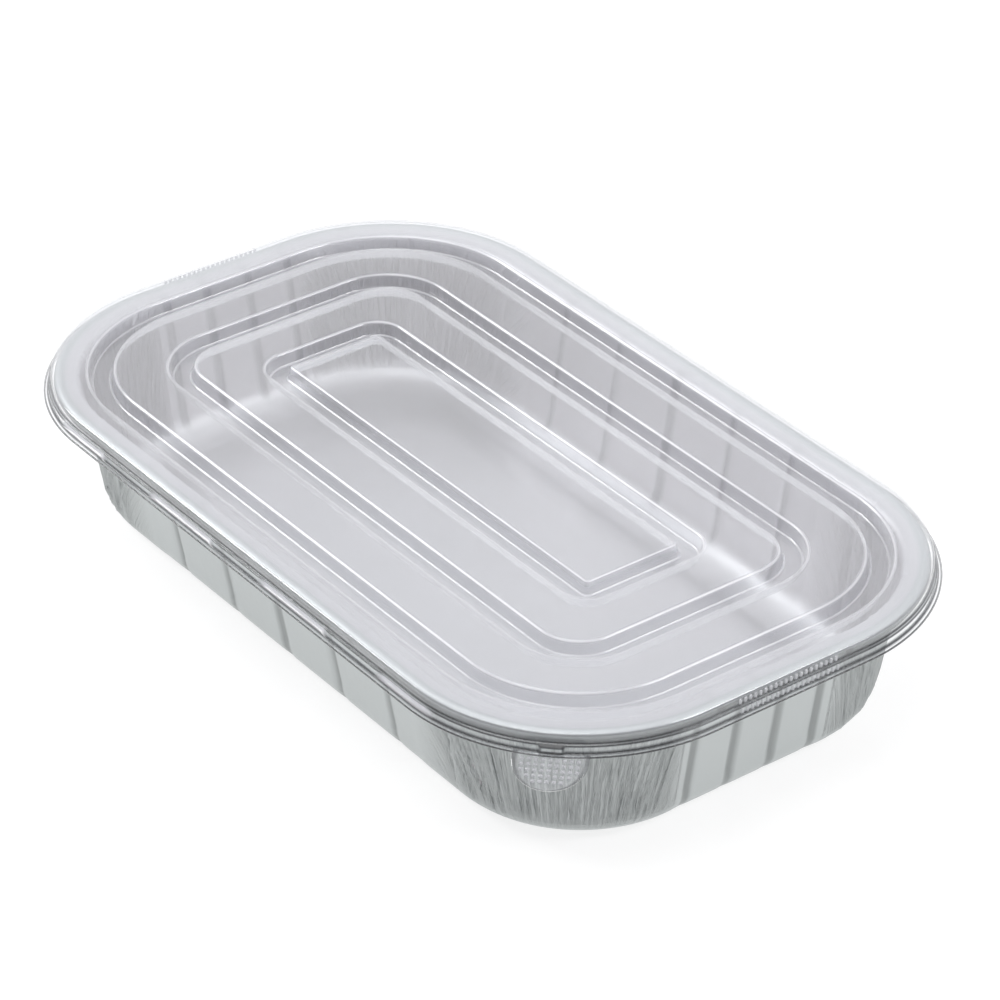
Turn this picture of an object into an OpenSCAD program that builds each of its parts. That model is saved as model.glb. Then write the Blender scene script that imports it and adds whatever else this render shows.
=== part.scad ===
// Pressed foil food tray with a clear lid that presses onto its rim.
// Lengths in millimetres, +X along the tray, +Z up, origin at the middle of the base.

/* [Tray] */
// Length over the curled rim
rim_l = 238; // [200:1:300]
// Width over the curled rim
rim_w = 141; // [120:1:180]
// Corner radius of the curled rim
rim_r = 47.5; // [42:0.5:54]
// Height of the tray from the table to the top of the rim
tray_h = 40; // [28:1:60]
// How far the wall leans in from the rim to the base
wall_lean = 6.3; // [3:0.1:9]
// Radius between wall and base
base_r = 9; // [3:0.5:12]
// Thickness of the pressed sheet
foil_t = 0.5; // [0.4:0.1:0.8]
// Width of the flat flange between the wall and the curled edge
flange_w = 2.9; // [1:0.1:5]
// How far the flange lies below the top of the curled edge
flange_drop = 0.7; // [0.3:0.1:1.2]
// Width of the curled edge
curl_w = 3.4; // [2:0.1:4]
// Height of the curled edge
curl_h = 3.4; // [2.4:0.1:4]
// Width of the foot ring round the raised middle of the base
foot_w = 4; // [3:0.5:10]
// How far the middle of the base stands above the table
base_rise = 0.8; // [0.4:0.1:1.5]

/* [Flutes and pleats] */
// Flutes along each long side
long_flutes = 5; // [1:2:5]
// Distance between the flutes of a long side
long_pitch = 23; // [16:0.5:25]
// Flutes across each short end
end_flutes = 4; // [2:1:4]
// Distance between the flutes of a short end
end_pitch = 12.6; // [8:0.2:12.8]
// Width of a flute
flute_w = 3.6; // [2.4:0.1:4]
// Depth of a flute
flute_d = 0.9; // [0.3:0.1:1.5]
// How far the smooth panels sink in at the foot of the wall
panel_d = 0.5; // [0.2:0.1:2]
// Length of the plain side next to each corner that is pleated too
pleat_run = 14; // [6:1:15]
// Pleats pressed into each corner
pleats = 14; // [8:1:16]
// Depth of a pleat
pleat_d = 0.35; // [0.1:0.05:0.5]

/* [Lid] */
// Thickness of the clear sheet
lid_t = 0.4; // [0.3:0.05:0.6]
// Gap between the rim and the lid's skirt
fit_gap = 0.3; // [0.2:0.05:0.6]
// Gap between the top of the rim and the lid
seat_gap = 0.1; // [0.05:0.05:0.3]
// Height of the skirt's upper wall
skirt_h = 2.5; // [2:0.1:4]
// Height of the skirt's lower wall
hook_h = 1.8; // [1.5:0.1:3]
// Width of the ledge between the two walls
ledge_w = 0.7; // [0.5:0.1:1.5]
// Width of the lip round the foot of the skirt
lip_w = 1.1; // [0.8:0.1:2.5]
// Distance from the lid's edge to the outermost channel
first_channel = 9.6; // [7:0.5:12]
// Distance from one channel to the next
channel_pitch = 20.7; // [18:0.1:21]
// Width of a channel at the top
channel_w = 6.4; // [5:0.1:8]
// Depth of a channel
channel_d = 3.6; // [2:0.1:5]
// Corner radius of the middle panel, inside the innermost channel
panel_r = 1.2; // [1:0.1:3]

/* [Snaps and tab] */
// Length of a snap dent beside the middle of a long side
snap_l = 26; // [12:1:34]
// Distance from the middle of the side to the middle of that dent
snap_x = 24; // [20:1:28]
// Length of a snap dent next to a corner
end_snap_l = 12; // [6:1:16]
// Distance from that dent to the start of the corner
end_snap_gap = 0.6; // [0.5:0.1:6]
// Depth of a snap dent
snap_d = 0.8; // [0.4:0.1:0.8]
// Grip ribs across each short end
grip_ribs = 20; // [6:1:26]
// Distance between the grip ribs
grip_pitch = 1.5; // [1.2:0.1:1.7]
// Width of the corner stop above the tab
stop_w = 5.6; // [4:0.1:8]
// Width of the pull tab
tab_w = 17.6; // [12:0.2:22]
// How far the tab reaches past the lip
tab_l = 10; // [9:0.5:14]
// How far the tab slopes down, in degrees
tab_drop = 14; // [0:1:20]

/* [Hidden] */

corner_x = rim_l / 2 - rim_r;
corner_y = rim_w / 2 - rim_r;

// Tray
flange_z = tray_h - flange_drop;
wall_inset = curl_w + flange_w;
foot_inset = wall_inset + wall_lean + base_r;
shoulder = 1;
fillet_steps = 3;
side_pleats = 5;
corner_steps = 2 * pleats;
panel_edge = 3;

// Lid
lid_z = tray_h + seat_gap + lid_t;
edge_r = rim_r + fit_gap + lid_t;
edge_round = 1;
ledge_drop = 0.3;
wall_draft = 0.15;
lip_drop = 0.3;
lip_edge = 0.4;
channel_draft = 0.9;
channel_round = 1.2;
floor_round = 0.8;
bend_steps = 3;
inner_offset = first_channel + 2 * channel_pitch;
inner_r = panel_r + channel_w;
inner_x = corner_x + edge_r - inner_offset - inner_r;
inner_y = corner_y + edge_r - inner_offset - inner_r;
inner_margin = 1.8;
sheet_overlap = 0.5;
hook_r = edge_r + wall_draft + ledge_w;
hook_z = lid_z - skirt_h - ledge_drop;
lip_r = hook_r + wall_draft + lip_w;
lip_z = hook_z - hook_h - lip_drop;
rib_r = 0.35;
stop_d = 0.7;
stop_drop = 0.1;
tab_sink = 0.1;
snap_top = hook_z - 0.25;
snap_foot = hook_z - hook_h + 0.25;
snap_slope = 0.4;
snap_skin = 0.15;
corner_fn = 48;

function unit(v) = v / norm(v);
function side_normal(a, b) = let (d = unit(b - a)) [d.y, -d.x];

// Points of the fillet of radius r that rounds the corner b between a and c
function bend(a, b, c, r, steps) =
    let (
        u = unit(a - b),
        v = unit(c - b),
        half = acos(u * v) / 2,
        centre = b + unit(u + v) * r / sin(half),
        p = b + u * r / tan(half) - centre,
        q = b + v * r / tan(half) - centre,
        from = atan2(p.y, p.x),
        turn = (atan2(q.y, q.x) - from + 540) % 360 - 180
    )
    [for (i = [0:steps]) centre + r * [cos(from + turn * i / steps), sin(from + turn * i / steps)]];

// A line of [x, z, radius] points with its corners rounded
function rounded(line, steps) = [
    for (i = [0:len(line) - 1])
        let (here = [line[i][0], line[i][1]])
        if (i == 0 || i == len(line) - 1 || line[i][2] == 0)
            here
        else
            let (
                before = [line[i - 1][0], line[i - 1][1]],
                after = [line[i + 1][0], line[i + 1][1]]
            )
            each bend(before, here, after, line[i][2], steps)
];

// The same line moved by d to its right-hand side
function beside(line, d) = [
    for (i = [0:len(line) - 1])
        let (
            n1 = side_normal(line[max(i - 1, 0)], line[max(i, 1)]),
            last = len(line) - 1,
            n2 = side_normal(line[min(i, last - 1)], line[min(i + 1, last)])
        )
        line[i] + d * (n1 + n2) / (1 + n1 * n2)
];

function reversed(line) = [for (i = [len(line) - 1:-1:0]) line[i]];

// In and out by turns, and not quite evenly
function zigzag(i) = (i % 2 == 0 ? 1 : -1) * (0.75 + 0.25 * sin(97 * i));

// Places along one side, measured from its middle: [place, panel, flute, pleat]
// A flute that finds no room on the side is left out
function flute_places(count, pitch, room) = [
    for (i = [0:count - 1])
        let (x = (i - (count - 1) / 2) * pitch)
        if (abs(x) + flute_w / 2 < room)
        each [
            [x - flute_w / 2, 1, 0, 0],
            [x - flute_w / 4, 1, 1, 0],
            [x + flute_w / 4, 1, 1, 0],
            [x + flute_w / 2, 1, 0, 0]
        ]
];
function pleat_places(from, run) = [
    for (i = [1:side_pleats]) [from + run * i / (side_pleats + 1), 0, 0, zigzag(i)]
];
long_places = concat(
    pleat_places(-corner_x, pleat_run),
    [[-corner_x + pleat_run, 0, 0, 0], [-corner_x + pleat_run + panel_edge, 1, 0, 0]],
    flute_places(long_flutes, long_pitch, corner_x - pleat_run - panel_edge),
    [[corner_x - pleat_run - panel_edge, 1, 0, 0], [corner_x - pleat_run, 0, 0, 0]],
    pleat_places(corner_x - pleat_run, pleat_run)
);
end_places = flute_places(end_flutes, end_pitch, corner_y);

// Stations round the tray: [centre x, centre y, direction, panel, flute, pleat]
function side_stations(k, places, across) = [
    for (p = places)
        let (a = 90 * k)
        [
            across * cos(a) - p[0] * sin(a),
            across * sin(a) + p[0] * cos(a),
            a, p[1], p[2], p[3]
        ]
];
function corner_stations(k) = [
    for (j = [0:corner_steps])
        let (
            a = 90 * k + 90 * j / corner_steps,
            sx = k == 0 || k == 3 ? 1 : -1,
            sy = k < 2 ? 1 : -1
        )
        [sx * corner_x, sy * corner_y, a, 0, 0, zigzag(j)]
];
stations = [
    for (k = [0:3]) each concat(
        side_stations(k, k % 2 == 0 ? end_places : long_places, k % 2 == 0 ? corner_x : corner_y),
        corner_stations(k)
    )
];

// Profile of the tray as layers [inset from the rim, height, panel, flute, pleat]
foot_line = rounded([
    [foot_inset + foot_w, 0, 0],
    [wall_inset + wall_lean, 0, base_r],
    [wall_inset, flange_z - foil_t - shoulder, 0],
    [wall_inset - shoulder, flange_z - foil_t, 0],
    [curl_w, flange_z - foil_t, 0]
], fillet_steps);
inside_line = beside(foot_line, foil_t);
function pressed(line) = [
    for (i = [0:len(line) - 1])
        let (to_edge = len(line) - 1 - i, full = min(1, line[i].y / base_r))
        to_edge == 0 ? [line[i].x, line[i].y, 0, 0, 0.2]
        : to_edge == 1 ? [line[i].x, line[i].y, 0, 0.2, 0.5]
        : to_edge == 2 ? [line[i].x, line[i].y, 0.2, 0.8, 0.8]
        : [line[i].x, line[i].y, full, full, full]
];
curl_layers = [
    for (a = [-157.5:45:112.5])
        [
            curl_w / 2 - curl_w / 2 * cos(a) / cos(22.5),
            tray_h - curl_h / 2 + curl_h / 2 * sin(a) / cos(22.5),
            0, 0, 0
        ]
];
layers = concat(
    [[foot_inset + foot_w + base_rise, base_rise, 0, 0, 0]],
    pressed(foot_line),
    curl_layers,
    reversed(pressed(inside_line)),
    [[foot_inset + foot_w + base_rise, base_rise + foil_t, 0, 0, 0]]
);
function tray_point(s, l) =
    let (
        reach = rim_r - l[0] - panel_d * s[3] * l[2] - flute_d * s[4] * l[3] - pleat_d * s[5] * l[4]
    )
    [s[0] + reach * cos(s[2]), s[1] + reach * sin(s[2]), l[1]];

module foil_tray() {
    n = len(stations);
    m = len(layers);
    points = concat(
        [for (l = layers) for (s = stations) tray_point(s, l)],
        [[0, 0, layers[0][1]], [0, 0, layers[m - 1][1]]]
    );
    skin = [
        for (j = [0:m - 2]) for (i = [0:n - 1])
            let (a = j * n + i, b = j * n + (i + 1) % n)
            each [[a, b + n, b], [a, a + n, b + n]]
    ];
    bottom = [for (i = [0:n - 1]) [n * m, i, (i + 1) % n]];
    floor = [for (i = [0:n - 1]) [n * m + 1, (m - 1) * n + (i + 1) % n, (m - 1) * n + i]];
    color([0.74, 0.76, 0.76])
        polyhedron(points, concat(skin, bottom, floor));
}

// A channel pressed into the lid, with its outer top corner at radius r
function channel(r) = [
    [r, lid_z, channel_round],
    [r - channel_draft, lid_z - channel_d, floor_round],
    [r - channel_w + channel_draft, lid_z - channel_d, floor_round],
    [r - channel_w, lid_z, channel_round]
];
edge_line = rounded(concat(
    [
        [lip_r, lip_z - lip_edge, 0],
        [lip_r, lip_z, 0],
        [hook_r + wall_draft, lip_z + lip_drop, 0],
        [hook_r, hook_z, 0],
        [edge_r + wall_draft, hook_z + ledge_drop, 0],
        [edge_r, lid_z, edge_round]
    ],
    channel(edge_r - first_channel),
    channel(edge_r - first_channel - channel_pitch),
    [[0, lid_z, 0]]
), bend_steps);
inner_line = rounded(concat(
    [[inner_r + inner_margin, lid_z, 0]],
    channel(inner_r),
    [[0, lid_z, 0]]
), bend_steps);

// A profile carried round a rectangle of half sizes x and y with round corners
module carried_round(line, x, y) {
    outline = concat(line, reversed(beside(line, -lid_t)));
    for (k = [0:3]) {
        across = k % 2 == 0 ? x : y;
        along = k % 2 == 0 ? y : x;
        rotate([0, 0, 90 * k]) {
            translate([across, 0, 0])
                rotate([90, 0, 0])
                    linear_extrude(2 * along, center = true)
                        polygon(outline);
            translate([across, along, 0])
                rotate_extrude(angle = 90, $fn = corner_fn)
                    polygon(outline);
        }
    }
}

// Flat sheet between the channels, and the middle panel inside them
module flat_rectangle(x, y, r) {
    square([2 * x, 2 * (y + r)], center = true);
    square([2 * (x + r), 2 * y], center = true);
    for (sx = [-1, 1])
        for (sy = [-1, 1])
            translate([sx * x, sy * y])
                circle(r, $fn = corner_fn);
}
module flat_panels() {
    translate([0, 0, lid_z - lid_t])
        linear_extrude(lid_t) {
            difference() {
                square([2 * corner_x, 2 * corner_y], center = true);
                flat_rectangle(inner_x, inner_y, inner_r + inner_margin - sheet_overlap);
            }
            square([2 * inner_x, 2 * inner_y], center = true);
        }
}

// Carries a shape drawn as [reach from the corner centre, height] along every snap dent
module at_snaps(cut) {
    end_snap_x = corner_x - end_snap_gap - end_snap_l / 2;
    for (side = [-90, 90])
        for (place = [[snap_x, snap_l], [-snap_x, snap_l], [end_snap_x, end_snap_l], [-end_snap_x, end_snap_l]])
            rotate([0, 0, side])
                translate([corner_y, place[0], 0])
                    rotate([90, 0, 0])
                        linear_extrude(place[1] - 2 * cut, center = true)
                            children();
}
module snap_blocks() {
    root = hook_r - lid_t / 2;
    tip = hook_r - snap_d - lid_t;
    at_snaps(0)
        polygon([
            [root, snap_top + snap_skin],
            [tip, snap_top - snap_slope + snap_skin],
            [tip, snap_foot + snap_slope - snap_skin],
            [root, snap_foot - snap_skin]
        ]);
}
module snap_hollows() {
    mouth = hook_r + lip_w / 2;
    tip = hook_r - snap_d;
    at_snaps(lid_t)
        polygon([
            [mouth, snap_top],
            [tip, snap_top - snap_slope],
            [tip, snap_foot + snap_slope],
            [mouth, snap_foot]
        ]);
}

// Upright ribs to grip, across both short ends
module grip() {
    for (end = [0, 180])
        for (i = [0:grip_ribs - 1])
            rotate([0, 0, end])
                translate([corner_x + hook_r, (i - (grip_ribs - 1) / 2) * grip_pitch, hook_z - hook_h])
                    cylinder(r = rib_r, h = hook_h, $fn = 8);
}

// Pull tab and the small stop above it, on one corner
module tab() {
    root = hook_r + wall_draft - lid_t / 2;
    reach = hook_r + wall_draft + lip_w + tab_l;
    translate([corner_x, -corner_y, 0])
        rotate([0, 0, -45]) {
            translate([root, 0, lip_z + lip_drop - tab_sink])
                rotate([0, tab_drop, 0])
                    translate([-root, 0, -lid_t])
                        linear_extrude(lid_t)
                            difference() {
                                translate([reach - tab_w / 2, 0])
                                    circle(d = tab_w, $fn = corner_fn);
                                circle(root, $fn = corner_fn);
                            }
            translate([hook_r - lid_t, -stop_w / 2, hook_z - hook_h])
                cube([lid_t + stop_d, stop_w, hook_h - stop_drop]);
        }
}

module lid() {
    color([0.85, 0.87, 0.9, 0.5])
        difference() {
            union() {
                carried_round(edge_line, corner_x, corner_y);
                carried_round(inner_line, inner_x, inner_y);
                flat_panels();
                snap_blocks();
                grip();
                tab();
            }
            snap_hollows();
        }
}

foil_tray();
lid();
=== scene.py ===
# %% [markdown]
# # A foil food tray with a clear press-on lid
# A takeaway tray is pressed from one thin sheet of aluminium: smooth fluted panels on the
# straight sides, gathered pleats at the round corners and a flat flange with a rolled edge. The
# lid is one sheet of clear plastic drawn over a mould, with three channels that stiffen it, a
# skirt that is pressed over the rolled edge and a tab to pull. Both are thin sheets whose shape
# is a profile carried round a rectangle with round corners, so both are worked out here as grids
# of points with numpy.

# %% Load the frame
import math

import bmesh
import bpy
import numpy as np
from mathutils import Matrix, Vector


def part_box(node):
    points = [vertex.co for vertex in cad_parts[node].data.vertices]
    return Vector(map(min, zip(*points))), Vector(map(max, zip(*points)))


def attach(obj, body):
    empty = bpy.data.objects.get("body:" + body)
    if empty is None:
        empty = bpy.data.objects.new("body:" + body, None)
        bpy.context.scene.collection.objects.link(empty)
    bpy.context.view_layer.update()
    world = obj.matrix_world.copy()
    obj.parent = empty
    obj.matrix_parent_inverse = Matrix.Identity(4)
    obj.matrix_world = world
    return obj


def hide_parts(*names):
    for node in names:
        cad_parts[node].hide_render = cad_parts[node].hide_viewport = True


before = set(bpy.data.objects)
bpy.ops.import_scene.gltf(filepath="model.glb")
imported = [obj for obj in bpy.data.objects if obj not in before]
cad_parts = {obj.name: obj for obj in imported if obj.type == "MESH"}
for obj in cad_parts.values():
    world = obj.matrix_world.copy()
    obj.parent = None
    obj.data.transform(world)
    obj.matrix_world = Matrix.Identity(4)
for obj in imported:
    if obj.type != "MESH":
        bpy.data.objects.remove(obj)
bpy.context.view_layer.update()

# %% [markdown]
# ## Sizes
# Everything below is in millimetres in the tray's own frame and is turned into metres once,
# when a mesh is made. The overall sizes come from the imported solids, so the dressed pieces stay
# the size of the solids that they stand for. The few others repeat the sizes of the design. Only
# the foil differs: it is drawn nearer to its real thickness than a solid can be, with softer and
# slightly narrower flutes.

# %% Sizes of the tray and the lid
MM = 0.001


def size_of(node):
    """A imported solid's length, width and height, and the height of its top, in millimetres."""
    low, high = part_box(node)
    return [(high[k] - low[k]) / MM for k in range(3)], high[2] / MM


(rim_l, rim_w, _), tray_h = size_of("foil_tray")
lid_z = size_of("lid")[1]
rim_r = 47.5
wall_lean = 6.3
base_r = 9.0
foil_t = 0.35
flange_w, flange_drop, shoulder = 2.9, 0.7, 1.0
curl_w, curl_h = 3.4, 3.4
foot_w = 4.0
base_rise = 0.8
corner_x = rim_l / 2 - rim_r
corner_y = rim_w / 2 - rim_r
flange_z = tray_h - flange_drop
wall_inset = curl_w + flange_w
wall_top = flange_z - foil_t - shoulder
print("rim", round(rim_l, 1), "x", round(rim_w, 1), "tray", round(tray_h, 1), "lid top", round(lid_z, 1))

# %% [markdown]
# ## A profile and the path that carries it
# A profile is a short list of corners, each with a radius. `rounded` turns every corner into an
# arc, the way a press tool's edge is rounded, and `beside` moves the finished line sideways by
# the thickness of the sheet.

# %% Profile helpers


def unit(v):
    """The same directions with length 1, along the last axis."""
    return v / np.linalg.norm(v, axis=-1, keepdims=True)


def rounded(corners, steps=5):
    """Corners [x, z, radius]: each corner becomes an arc tangent to both its edges."""
    corners = np.array(corners, float)
    line = [corners[:1, :2]]
    for before, here, after in zip(corners, corners[1:], corners[2:]):
        a, b, c, r = before[:2], here[:2], after[:2], here[2]
        if r == 0:
            line.append(b[None])
            continue
        u, v = unit(a - b), unit(c - b)
        half = math.acos(float(np.clip(u @ v, -1, 1))) / 2
        centre = b + unit(u + v) * r / math.sin(half)
        start = b + u * r / math.tan(half) - centre
        stop = b + v * r / math.tan(half) - centre
        first = math.atan2(start[1], start[0])
        turn = (math.atan2(stop[1], stop[0]) - first + math.pi) % (2 * math.pi) - math.pi
        angle = first + turn * np.linspace(0, 1, steps)
        line.append(centre + r * np.stack([np.cos(angle), np.sin(angle)], 1))
    line.append(corners[-1:, :2])
    return np.concatenate(line)


def beside(line, distance):
    """Each point moves along the mean of its two edges' normals, far enough to keep the gap even."""
    edge = unit(np.diff(line, axis=0))
    normal = np.stack([edge[:, 1], -edge[:, 0]], 1)
    before = np.vstack([normal[:1], normal])
    after = np.vstack([normal, normal[-1:]])
    return line + distance * (before + after) / (1 + (before * after).sum(1))[:, None]


# %% [markdown]
# A station is one place on the path round the rectangle. It has a corner-rectangle place
# (kx, ky), each from -1 to 1, an outward direction, and where it lies along its side or corner,
# so that flutes, dents and pleats can be put at real distances.

# %% Stations round the rectangle


class Path:
    """Stations round a rectangle with round corners, counterclockwise from the +X side."""

    def __init__(self, long_side, short_side, corners):
        kx, ky, angle, side, along = [], [], [], [], []
        for k in range(4):
            places = np.asarray(short_side if k % 2 == 0 else long_side, float)
            turn = np.asarray(corners[k], float)
            c, s = [(1, 0), (0, 1), (-1, 0), (0, -1)][k]
            kx += [c - places * s, np.full(turn.size, [1, -1, -1, 1][k])]
            ky += [s + places * c, np.full(turn.size, [1, 1, -1, -1][k])]
            angle += [np.full(places.size, 90.0 * k), 90.0 * k + turn]
            side += [np.full(places.size, k), np.full(turn.size, -1 - k)]
            along += [places, turn]
        self.kx, self.ky = np.concatenate(kx), np.concatenate(ky)
        self.angle = np.radians(np.concatenate(angle))
        self.side, self.along = np.concatenate(side), np.concatenate(along)
        self.normal = np.stack([np.cos(self.angle), np.sin(self.angle)], 1)

    def carry(self, x, y, r, z):
        """Point = (kx * x + r * nx, ky * y + r * ny, z), for every station and profile point."""
        return np.stack([
            self.kx[:, None] * x + r * self.normal[:, :1],
            self.ky[:, None] * y + r * self.normal[:, 1:],
            np.broadcast_to(z, (self.kx.size, np.shape(z)[-1])),
        ], -1)


def window(value, low, high, ramp):
    """0 outside low to high, 1 inside, with smooth ramps centred on both ends."""
    rise = np.clip((value - low) / ramp + 0.5, 0, 1)
    fall = np.clip((high - value) / ramp + 0.5, 0, 1)
    both = np.minimum(rise, fall)
    return both * both * (3 - 2 * both)


# %% [markdown]
# A piece becomes a mesh once, from points in millimetres. Doubled points are merged, which closes
# every seam, and the faces are turned outwards. A sheet that is carried round the path is a grid
# with one quad per cell: it closes round the path, and its two ends shrink to the middle.

# %% Mesh helpers
merge_within = 0.001 * MM


def make_piece(name, points, faces, body, values):
    """A closed mesh with its faces outwards; values are stored on its points, for its finish."""
    mesh = bpy.data.meshes.new(name)
    mesh.from_pydata((np.asarray(points).reshape(-1, 3) * MM).tolist(), [], faces)
    for key, value in values.items():
        layer = mesh.attributes.new(key, "FLOAT", "POINT")
        layer.data.foreach_set("value", np.asarray(value, np.float32).ravel())
    tidy = bmesh.new()
    tidy.from_mesh(mesh)
    bmesh.ops.remove_doubles(tidy, verts=tidy.verts, dist=merge_within)
    bmesh.ops.recalc_face_normals(tidy, faces=tidy.faces)
    tidy.to_mesh(mesh)
    tidy.free()
    piece = bpy.data.objects.new(name, mesh)
    bpy.context.collection.objects.link(piece)
    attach(piece, body)
    print(name, len(mesh.polygons), "faces")
    return piece


def sheet_piece(name, points, body, node, values):
    """points[station, row]: quads between neighbours, closed round the stations."""
    n, m = points.shape[:2]
    i = np.arange(n)[:, None]
    j = np.arange(m - 1)[None]
    a, b = i * m + j, (i + 1) % n * m + j
    quads = np.stack([a, b, b + 1, a + 1], -1).reshape(-1, 4)
    piece = make_piece(name, points, quads.tolist(), body, values)
    piece.data.shade_smooth()
    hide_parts(node)
    return piece


def clear_piece(name, points, faces, bent_at):
    """A small piece of the lid's own sheet, with its painted dark lines."""
    piece = make_piece(name, points, faces, "lid", {"bent": bent_at})
    return piece


# %% [markdown]
# ## The foil tray
# The press tool leaves the straight sides as smooth, slightly sunken panels with upright flutes.
# The stations lie closest where the shape changes fastest: round the corners and along the ends
# of the long sides, where the pleats run on.

# %% Stations of the tray
pleat_run = 14.0
panel_edge, panel_d = 3.0, 0.5
flute_w, flute_d = 3.4, 0.75
long_flutes = (np.arange(5) - 2) * 23.0
end_flutes = (np.arange(4) - 1.5) * 12.6
tray_path = Path(
    long_side=np.unique(np.concatenate([
        np.linspace(-1, -1 + pleat_run / corner_x, 40),
        np.linspace(-1, 1, 90),
        np.linspace(1 - pleat_run / corner_x, 1, 40),
    ]))[1:-1],
    short_side=np.linspace(-1, 1, 60)[1:-1],
    corners=[np.linspace(0, 90, 180)] * 4,
)
print("tray", tray_path.kx.size, "stations")

# %% [markdown]
# At the corners the sheet has too much metal for the shorter path round the base, and it gathers
# into fine pleats that start at the rim, wander a little and run together towards the base.
# Modelling each pleat as a narrow ridge with its own place, width, drift and reach gives the
# uneven look of the real ones, which an even wave does not. Beside a long side the pleats lean,
# because there the metal is drawn away from the side as well as down.

# %% Pleats
pleat_pitch, pleat_jitter = 1.7, 0.6
pleat_width = 0.36, 0.62
pleat_size = 0.14, 0.4
pleat_wander, wander_length = (0.1, 0.55), (3.0, 6)
pleat_foot, pleat_head, pleat_fade = (-9, 9), (-14, 6), 8.0
lowest_pleat = 5.0
lean_to_long, lean_to_short = 0.4, 0.22
reach = rim_r - wall_inset
half_run = math.radians(45) * reach


def lean(from_middle, long_side_after):
    """Sideways run of a pleat per mm of height: none in a corner's middle, most beside a side."""
    u = np.clip(from_middle / half_run, -1.1, 1.1)
    return u**3 * np.where(u * long_side_after > 0, lean_to_long, lean_to_short)


def corner_place(path, k):
    """Distance in mm along corner k and the sides next to it; not a number elsewhere."""
    corner = path.side == -1 - k
    before, after = path.side == k, path.side == (k + 1) % 4
    half_before = corner_y if k % 2 == 0 else corner_x
    half_after = corner_x if k % 2 == 0 else corner_y
    place = np.full(path.kx.size, np.nan)
    place[corner] = np.radians(path.along[corner]) * reach
    place[before] = (path.along[before] - 1) * half_before
    place[after] = 2 * half_run + (path.along[after] + 1) * half_after
    return place


def pleat_field(path, height, seed):
    """Sum of narrow ridges, size * exp(-|distance / width| ** 1.5), each one steeper on one side."""
    rng = np.random.default_rng(seed)
    depth = np.zeros((path.kx.size, height.size))
    run = 2 * half_run
    for k in range(4):
        long_after = 1 if k % 2 == 0 else -1
        place = corner_place(path, k)
        spill_before = 0 if k % 2 == 0 else pleat_run
        spill_after = pleat_run if k % 2 == 0 else 0
        within = (place > -spill_before - 3) & (place < run + spill_after + 3)
        near = np.where(np.isfinite(place) & within)[0]
        spots = np.arange(-spill_before, run + spill_after, pleat_pitch)
        spots = spots + rng.uniform(-pleat_jitter, pleat_jitter, spots.size)
        for spot in spots:
            middle = wall_top * rng.uniform(0.3, 0.75)
            slope = lean(spot - half_run, long_after)
            drift = rng.normal(0, 0.03) * (height - middle) + slope * (height - wall_top)
            amount = rng.uniform(*pleat_wander)
            wander = amount * np.sin(height / rng.uniform(*wander_length) + rng.uniform(0, 6))
            width = rng.uniform(*pleat_width)
            size = rng.choice([-1, 1]) * rng.uniform(*pleat_size)
            foot, head = rng.uniform(*pleat_foot), wall_top + rng.uniform(*pleat_head)
            gap = (place[near][:, None] - (spot + drift + wander)[None]) / width
            ridge = np.exp(-np.abs(gap) ** 1.5) * (1 + 0.8 * np.tanh(1.5 * gap))
            depth[near] += size * ridge * window(height, foot, head, pleat_fade)
    return depth * window(height, lowest_pleat, 2 * tray_h, pleat_fade)


# %% [markdown]
# A panel is a shallow sink with soft edges and a flute is a narrow round groove. Both are pressed
# deepest near the base and fade out under the flange, as the slope of a press tool makes them.

# %% Panels and flutes
flute_sharp = 0.36
panel_fade, flute_fade = 0.8, 0.3


def straight_places(path):
    """Distance in mm along a long or a short side; far away where the path isn't on such a side."""
    far = 999.0
    long_side = (path.side >= 0) & (path.side % 2 == 1)
    short_side = (path.side >= 0) & (path.side % 2 == 0)
    x = np.where(long_side, path.along * corner_x, far)
    y = np.where(short_side, path.along * corner_y, far)
    return x, y


def pressed_in(path, height):
    """Inward depth of panels, flutes and pleats for every station and height, in millimetres."""
    up = np.clip(height / wall_top, 0, 1)[None]
    foot = np.clip(height / base_r, 0, 1)[None]
    x, y = straight_places(path)
    edge_x, edge_y = corner_x - pleat_run - panel_edge / 2, corner_y - panel_edge / 2
    panel = window(x, -edge_x, edge_x, panel_edge) + window(y, -edge_y, edge_y, panel_edge)
    flute = np.zeros_like(x)
    for f in long_flutes:
        flute = flute + np.exp(-((x - f) / (flute_w * flute_sharp)) ** 2)
    for f in end_flutes:
        flute = flute + np.exp(-((y - f) / (flute_w * flute_sharp)) ** 2)
    depth = panel_d * panel[:, None] * (1 - panel_fade * up) * foot
    depth = depth + flute_d * flute[:, None] * (1 - flute_fade * up) * foot
    return depth + pleat_field(path, height, seed=7)


# %% [markdown]
# The profile runs from the middle of the base over the rim and back to the middle of the floor:
# a raised base panel, the foot ring that stands on the table, a fillet, the leaning wall, the
# flange, and a bead for the edge that is rolled so that nobody is cut. The wall's inner line is
# its outer one moved in by the foil's thickness. `gain` says how much of the pressed depth each
# point takes: all of it on the wall, little on the flange and the bead, and none under the tray.

# %% Profile of the tray
foot_inset = wall_inset + wall_lean + base_r
panel_inset = foot_inset + foot_w + base_rise
wall_rows, inner_rows = 20, 9


def wall_line(inner):
    """Foot ring, fillet, wall and flange as [inset, height]; the inner line lies one foil inside."""
    under = flange_z - foil_t
    line = rounded([
        [foot_inset + foot_w, 0, 0],
        [wall_inset + wall_lean, 0, base_r],
        [wall_inset, under - 0.3, 1.4],
        [curl_w, under, 0],
    ], 7)
    if inner:
        line = beside(line, foil_t)
    fine = np.linspace(0, 1, inner_rows if inner else wall_rows)[1:-1, None]
    return np.vstack([line[:8], line[7] + (line[8] - line[7]) * fine, line[8:]])


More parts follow.
